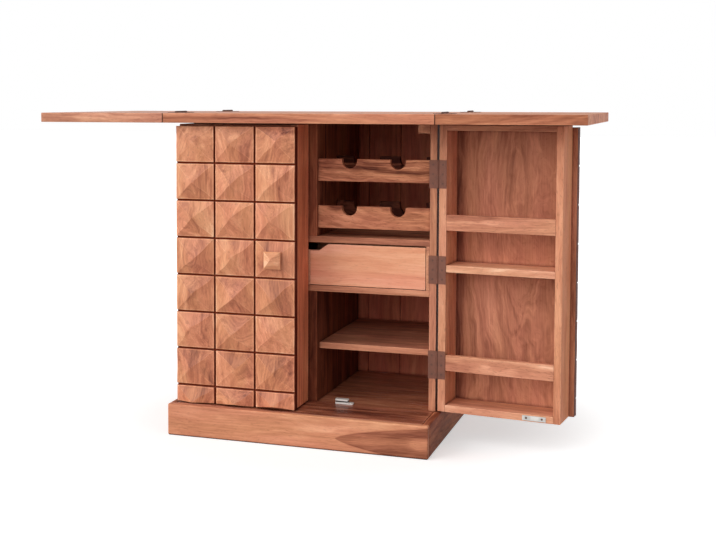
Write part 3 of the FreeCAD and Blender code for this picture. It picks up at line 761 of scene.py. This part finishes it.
BACK_LOOK = {"plank": BACK_PLANK, "wear": 0.0}
BACK_INSIDE = {**BACK_LOOK, "contrast": 0.3, "richness": 1.03, "hue": 0.486}
BACK_OUTSIDE = {**BACK_LOOK, "contrast": 0.5}


def look_of(name):
    """A board's own look, or nothing for plain wood."""
    return next((look for words, look in BOARD_LOOKS.items() if name.endswith(words)), {})


def dress_boards():
    """Wood and soft edges on every wooden node."""
    for name, piece in nodes.items():
        slot = next(s["material_slot"] for s in frame["record"]["subparts"] if s["node"] == name)
        if slot.endswith("wood") and slot != "carved_wood":
            piece.data.materials.clear()
            piece.data.materials.append(board_material(name, grain_of(name), **look_of(name)))
            soften(piece, EDGE_WIDTHS.get(name, BOARD_EDGE), segments=3)


def make_back():
    """The back panel as upright boards with a small groove at each joint, on both faces."""
    low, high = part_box("back_panel")
    reach = int(high[0] / BACK_PLANK + 0.5)
    joints = [(number - 0.5) * BACK_PLANK for number in range(1 - reach, reach + 1)]
    front = [(low[0], low[1])]
    for x in joints:
        front += [(x - BACK_GROOVE, low[1]), (x, low[1] + BACK_GROOVE), (x + BACK_GROOVE, low[1])]
    front.append((high[0], low[1]))
    back = [(x, low[1] + high[1] - y) for x, y in reversed(front)]
    rings = np.array([[(x, y, z) for x, y in front + back] for z in (low[2], high[2])])
    points, faces = close_rings(rings, 0)
    mesh = bpy.data.meshes.new("back_boards")
    mesh.from_pydata(points.tolist(), [], faces)
    for look in (BACK_INSIDE, BACK_OUTSIDE):
        mesh.materials.append(board_material("back_panel", grain_of("back_panel"), **look))
    for face in mesh.polygons:
        face.material_index = int(face.normal.y > 0)
    piece = bpy.data.objects.new("back_boards", mesh)
    bpy.context.scene.collection.objects.link(piece)
    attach(piece, "cabinet")
    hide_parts("back_panel")


def solids_of(name):
    """The corner points of each solid of a node, with the right door shut."""
    form = bmesh.new()
    form.from_mesh(nodes[name].data)
    if is_swung(name):
        form.transform(TO_SHUT)
    bmesh.ops.remove_doubles(form, verts=form.verts, dist=SAME_POINT)
    form.verts.index_update()
    seen = set()
    solids = []
    for start in form.verts:
        if start.index in seen:
            continue
        seen.add(start.index)
        waiting = [start]
        points = []
        while waiting:
            corner = waiting.pop()
            points.append(tuple(corner.co))
            for edge in corner.link_edges:
                other = edge.other_vert(corner)
                if other.index not in seen:
                    seen.add(other.index)
                    waiting.append(other)
        solids.append(np.array(points))
    form.free()
    return solids


def uneven(dice, length, terms=5):
    """A smooth uneven surface with waves of about one length, as a function of x and z."""
    parts = []
    for _ in range(terms):
        turn = dice.uniform(0, math.tau)
        rate = math.tau / (length * dice.uniform(0.7, 1.5))
        parts.append((rate * math.cos(turn), rate * math.sin(turn), dice.uniform(0, math.tau)))
    return lambda x, z: sum(np.sin(a * x + b * z + c) for a, b, c in parts) / terms


def around(low, high):
    """Points round a rectangle in the x and z plane, closer together at its corners."""
    corners = np.array([(low[0], low[1]), (high[0], low[1]), (high[0], high[1]), (low[0], high[1])])
    shares = np.array(SIDE_SHARES)[:, None]
    sides = [here + shares * (there - here) for here, there in zip(corners, np.roll(corners, -1, axis=0))]
    return np.concatenate(sides)


def carve(points, dice, rise):
    """Rings of a hand-cut block from its foot to its tip, cut as high as rise says.

    Each ring also has a stain, as in the grooves, and a share of the pale rim, which is wear and a painted
    highlight. A block that carries a knob has a flat tip, which neither strays nor waves, and painted shade with
    grime on its last rings round the knob's neck.
    """
    low, high = points.min(0), points.max(0)
    tip = points[points[:, 1] < low[1] + SAME_POINT]
    pointed = len(tip) == 1
    corner = points[(points[:, 0] < low[0] + SAME_POINT) & (points[:, 2] > high[2] - SAME_POINT)]
    edge_y = corner[:, 1].min()
    outline = around(low[[0, 2]], high[[0, 2]])
    stray = np.array([dice.uniform(-APEX_STRAY, APEX_STRAY) for _ in range(2)]) - (APEX_LEAN, 0)
    target = around(tip[:, [0, 2]].min(0), tip[:, [0, 2]].max(0)) + stray * pointed

    # Where the rings lie between outline and tip, and what the rounded edge takes off
    reach = (high - low)[[0, 2]].min() / 2
    turns = np.radians(EDGE_TURNS)
    insets = EDGE_ROUND * (1 - np.cos(turns)) / reach
    drops = EDGE_ROUND * (1 - np.sin(turns))
    plain = np.zeros(len(RING_SHARES))
    shares = np.array([0, *insets, *RING_SHARES])[:, None]
    sunk = np.array([0, *drops, *plain])[:, None]
    stains_and_shade = np.array([*EDGE_STAINS, *plain])
    rim_wear_and_highlight = np.array([*EDGE_WEAR_AND_HIGHLIGHT, *plain])
    place = outline[None] * (1 - shares[..., None]) + target[None] * shares[..., None]
    x, z = place[..., 0], place[..., 1]
    margin = np.minimum(np.minimum(x - low[0], high[0] - x), np.minimum(z - low[2], high[2] - z))
    free = np.clip(margin / RIM_MARGIN, 0, 1)
    if not pointed:
        free = free * (1 - shares)
        # Painted shade with grime on the last rings, round the knob's neck
        stains_and_shade[-len(HALO_SHADE_AND_GRIME):] = HALO_SHADE_AND_GRIME

    # Hollow facets with waves, and ridges and outlines that drift
    blunt = np.clip(shares - BLUNT_FROM, 0, 1) ** 2
    lift = (edge_y - low[1]) * rise * (shares ** HOLLOW - blunt)
    y = edge_y - lift + sunk - FACET_WAVES * uneven(dice, FACET_LENGTH)(x, z) * free
    y[0] = high[1]
    drift_x, drift_z = [uneven(dice, RIDGE_LENGTH) for _ in range(2)]
    edge_x, edge_z = [uneven(dice, OUTLINE_LENGTH) for _ in range(2)]
    moved_x = x + RIDGE_DRIFT * free * drift_x(x, z) + OUTLINE_WAVES * edge_x(x, z)
    moved_z = z + RIDGE_DRIFT * free * drift_z(x, z) + OUTLINE_WAVES * edge_z(x, z)
    return np.stack([moved_x, y, moved_z], axis=-1), stains_and_shade, rim_wear_and_highlight


def close_rings(rings, first):
    """Corner points and faces of rings that are closed at the first and the last one."""
    count, around_count = rings.shape[:2]
    number = first + np.arange(count * around_count).reshape(count, around_count)
    following = np.roll(number, -1, axis=1)
    faces = [
        (number[r, c], following[r, c], following[r + 1, c], number[r + 1, c])
        for r in range(count - 1)
        for c in range(around_count)
    ]
    faces.append(tuple(number[0, ::-1]))
    faces.append(tuple(number[-1]))
    return rings.reshape(-1, 3), [tuple(int(corner) for corner in face) for face in faces]


def carve_blocks(node):
    """Carved blocks in place of a door's plain ones, each from its own piece of wood."""
    places, faces, grains, tones, stains_and_shade = [], [], [], [], []
    solids = sorted(solids_of(node), key=lambda solid: -round(solid[:, 2].max(), 4))
    for number, solid in enumerate(solids):
        dice = random.Random(f"{node} {number}")
        rings, stain, rim = carve(solid, dice, ROW_RISES[number // COLUMNS])
        points, more = close_rings(rings, sum(len(p) for p in places))
        middle = (points.min(0) + points.max(0)) / 2
        lot = [dice.uniform(-reach, reach) for reach in BLOCK_LOT]
        places.append(points)
        faces += more
        tilt = dice.uniform(-GRAIN_TILT, GRAIN_TILT)
        lean = np.array(Matrix.Rotation(tilt, 3, "X"))
        grains.append(((points - middle) @ lean.T)[:, [2, 0, 1]] + np.array(lot))
        # Painted light and shade on each facet with a random stray, a painted highlight on the ridges, and the
        # pale rim as wear and a painted highlight
        facet_light_and_tone = [mean + dice.uniform(-FACET_STRAY, FACET_STRAY) for mean in FACET_LIGHT_AND_SHADE]
        facet_light_and_tone = np.repeat(facet_light_and_tone, len(SIDE_SHARES))
        facet_light_and_tone[::len(SIDE_SHARES)] += RIDGE_HIGHLIGHT
        own = dice.uniform(*BLOCK_TONES) + np.tile(facet_light_and_tone, len(rim))
        tones.append(own + RIM_WEAR_AND_HIGHLIGHT * np.repeat(rim, rings.shape[1]))
        stains_and_shade.append(np.repeat(stain, rings.shape[1]))
    marks = (np.concatenate(grains), np.concatenate(tones), np.concatenate(stains_and_shade))
    make_cut_piece(node, np.concatenate(places), faces, *marks)


def carve_knob(node):
    """A hand-cut knob on a neck, with a steep tip off its middle, facets whose tones paint light on them, and
    painted shade with grime on its neck.
    """
    points = solids_of(node)[0]
    low, high = points.min(0), points.max(0)
    neck_y = np.unique(points[:, 1].round(5))[-2]
    foot = points[points[:, 1] > high[1] - SAME_POINT]
    neck = around(foot[:, [0, 2]].min(0), foot[:, [0, 2]].max(0))
    head = around(low[[0, 2]], high[[0, 2]])
    tip = head.mean(0) + np.array(KNOB_TIP)
    inner = head + (tip - head) * EDGE_ROUND / (high[0] - low[0])
    edge_y = neck_y - KNOB_EDGE
    levels = [(neck, high[1]), (neck, neck_y), (inner, neck_y), (head, neck_y - EDGE_ROUND)]
    levels += [(head, edge_y + EDGE_ROUND / 2), (inner, edge_y)]
    for share in KNOB_SHARES:
        levels.append((inner + (tip - inner) * share, edge_y + (low[1] - edge_y) * share))
    rings = np.array([[(x, y, z) for x, z in outline] for outline, y in levels])
    points, faces = close_rings(rings, 0)
    # Tones of the facets with painted light, most on the left, and painted shade with grime on the neck
    tones = np.tile(np.repeat(KNOB_TONES_AND_LIGHT, len(SIDE_SHARES)), len(levels))
    stains_and_shade = np.repeat([NECK_SHADE_AND_GRIME if outline is neck else 0 for outline, _ in levels], len(neck))
    make_cut_piece(node, points, faces, (points - points.mean(0))[:, [0, 2, 1]], tones, stains_and_shade)


def make_cut_piece(node, points, faces, grain, tone, stain):
    """A hand-cut piece in place of a node of a door, with marks for its material at each point."""
    if is_swung(node):
        back = np.array(TO_SHUT.inverted())
        points = points @ back[:3, :3].T + back[:3, 3]
    mesh = bpy.data.meshes.new(node + "_cut")
    mesh.from_pydata(points.tolist(), [], faces)
    mesh.shade_smooth()
    mesh.attributes.new("grain", "FLOAT_VECTOR", "POINT").data.foreach_set("vector", grain.ravel())
    for key, values in (("tone", tone), ("stain", stain)):
        mesh.attributes.new(key, "FLOAT", "POINT").data.foreach_set("value", values)
    mesh.materials.append(carved_material(node))
    piece = bpy.data.objects.new(node + "_cut", mesh)
    bpy.context.scene.collection.objects.link(piece)
    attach(piece, "right_door" if is_swung(node) else "left_door")
    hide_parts(node)


def metal_material(name, base, rough, metallic=0.85):
    """Worn metal with cloudy tarnish."""
    material, graph = new_material(name)
    point = graph.node("TexCoord").outputs["Object"]
    cloud = graph.noise(point, TARNISH_SCALE, 3.0).outputs["Fac"]
    dark = tuple(TARNISH_DARK * c for c in base[:3]) + (1,)
    paint = graph.mix(graph.step(cloud, *TARNISH_STEP), dark, base)
    roughness = graph.math("MULTIPLY_ADD", cloud, TARNISH_ROUGH, rough)
    finish_material(graph, {"Base Color": paint, "Roughness": roughness, "Metallic": metallic})
    return material


def catch_material(name, base):
    """Moulded plastic with a faint grain, round a dark band at half its height, painted as the shade in its slot.
    """
    material, graph = new_material(name)
    point = graph.node("TexCoord").outputs["Object"]
    cloud = graph.noise(point, PLASTIC_SCALE, 3.0).outputs["Fac"]
    paint = graph.mix(graph.math("MULTIPLY", cloud, PLASTIC_DIRT), base, GRAIN_LINE)
    low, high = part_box("door_catches")
    from_middle = graph.math("SUBTRACT", graph.split(point)[2], (low[2] + high[2]) / 2)
    half = CATCH_SLOT / 2
    # Painted shade in the catch's slot
    slot_shade = graph.step(graph.math("ABSOLUTE", from_middle), half, half + CATCH_SLOT_EDGE, 1.0, 0.0)
    paint = graph.mix(slot_shade, paint, GRIME_AND_SHADE)
    finish_material(graph, {"Base Color": paint, "Roughness": PLASTIC_ROUGH}, cloud, PLASTIC_BUMP)
    return material


def dress_hardware():
    """Hinges, screws, strike plates and catches."""
    looks = {
        "hinge_metal": metal_material("aged_bronze", colour(124, 78, 62), 0.50, 0.35),
        "fastener_steel": metal_material("dark_steel", colour(104, 70, 58), 0.45, 0.5),
        "strike_steel": metal_material("zinc", colour(200, 198, 194), 0.28),
        "catch_plastic": catch_material("white_plastic", colour(240, 238, 232)),
    }
    for subpart in frame["record"]["subparts"]:
        if subpart["material_slot"] in looks:
            piece = nodes[subpart["node"]]
            piece.data.materials.clear()
            piece.data.materials.append(looks[subpart["material_slot"]])
            soften(piece, METAL_EDGE)


def seen_directly(graph):
    """1 where the camera, a reflection or a clear surface looks, and 0 for light that falls."""
    path = graph.node("LightPath").outputs
    seen = graph.math("MAXIMUM", path["Is Camera Ray"], path["Is Glossy Ray"])
    return graph.math("MAXIMUM", seen, path["Is Transmission Ray"])


def make_sky():
    """An even sky that lights softly and looks white, with a dim room where the photographer stands."""
    world = bpy.data.worlds.new("sky")
    world.use_nodes = True
    graph = Graph(world.node_tree)
    x, y, _ = graph.split(graph.node("TexCoord").outputs["Generated"])
    window = graph.math("MAXIMUM", graph.step(y, *WHITE_BEHIND), graph.step(x, *WHITE_LEFT))
    mirrored = graph.mix(window, DIM_ROOM, WHITE)
    shiny = graph.node("LightPath").outputs["Is Glossy Ray"]
    paint = graph.mix(seen_directly(graph), SKY_LIGHT, graph.mix(shiny, WHITE, mirrored))
    sky = graph.node("Background", {"Color": paint, "Strength": 1.0})
    graph.node("OutputWorld", {"Surface": sky.outputs[0]})
    bpy.context.scene.world = world


def make_floor():
    """A wide pale floor that looks white away from the object's shadow."""
    mesh = bpy.data.meshes.new("floor")
    form = bmesh.new()
    bmesh.ops.create_grid(form, x_segments=1, y_segments=1, size=FLOOR_SIZE / 2)
    form.to_mesh(mesh)
    form.free()
    material, graph = new_material("floor")
    seen = seen_directly(graph)
    matt = graph.node("BsdfDiffuse", {"Color": graph.mix(seen, FLOOR_BOUNCE, FLOOR_COLOUR)})
    away = graph.node("VectorMath", {0: graph.node("TexCoord").outputs["Object"]}, operation="LENGTH")
    away = graph.step(away.outputs["Value"], FLOOR_NEAR, FLOOR_FAR, FLOOR_LIFT, FLOOR_LIFT + FAR_LIFT)
    lift = graph.math("MULTIPLY", seen, away)
    glow = graph.node("Emission", {"Color": WHITE, "Strength": lift})
    both = graph.node("AddShader", {0: matt.outputs[0], 1: glow.outputs[0]})
    graph.node("OutputMaterial", {"Surface": both.outputs[0]})
    mesh.materials.append(material)
    floor = bpy.data.objects.new("floor", mesh)
    bpy.context.scene.collection.objects.link(floor)


def make_lamps():
    """The broad lamps."""
    for name, (turn, rise, power) in LAMPS.items():
        light = bpy.data.lights.new(name, "SUN")
        light.energy = power
        light.angle = math.radians(LAMP_SPREAD)
        lamp = bpy.data.objects.new(name, light)
        lamp.rotation_euler = Euler((math.radians(90 - rise), 0, math.radians(turn)))
        bpy.context.scene.collection.objects.link(lamp)


def make_camera():
    """The camera at the photograph's place."""
    lens = bpy.data.cameras.new("camera")
    lens.sensor_fit = "HORIZONTAL"
    lens.sensor_width = SENSOR
    lens.lens = CAMERA_FOCUS * SENSOR
    lens.shift_x, lens.shift_y = CAMERA_SHIFT
    camera = bpy.data.objects.new("camera", lens)
    camera.location = CAMERA_PLACE
    camera.rotation_euler = Euler((math.radians(90 - CAMERA_DIP), 0, math.radians(CAMERA_TURN)))
    bpy.context.scene.collection.objects.link(camera)
    bpy.context.scene.camera = camera


dress_boards()
dress_hardware()
make_back()
for side in ("left", "right"):
    carve_blocks(side + "_door_carved_blocks")
    carve_knob(side + "_door_knob")
make_sky()
make_floor()
make_lamps()
make_camera()
bpy.context.scene.view_settings.view_transform = "Standard"
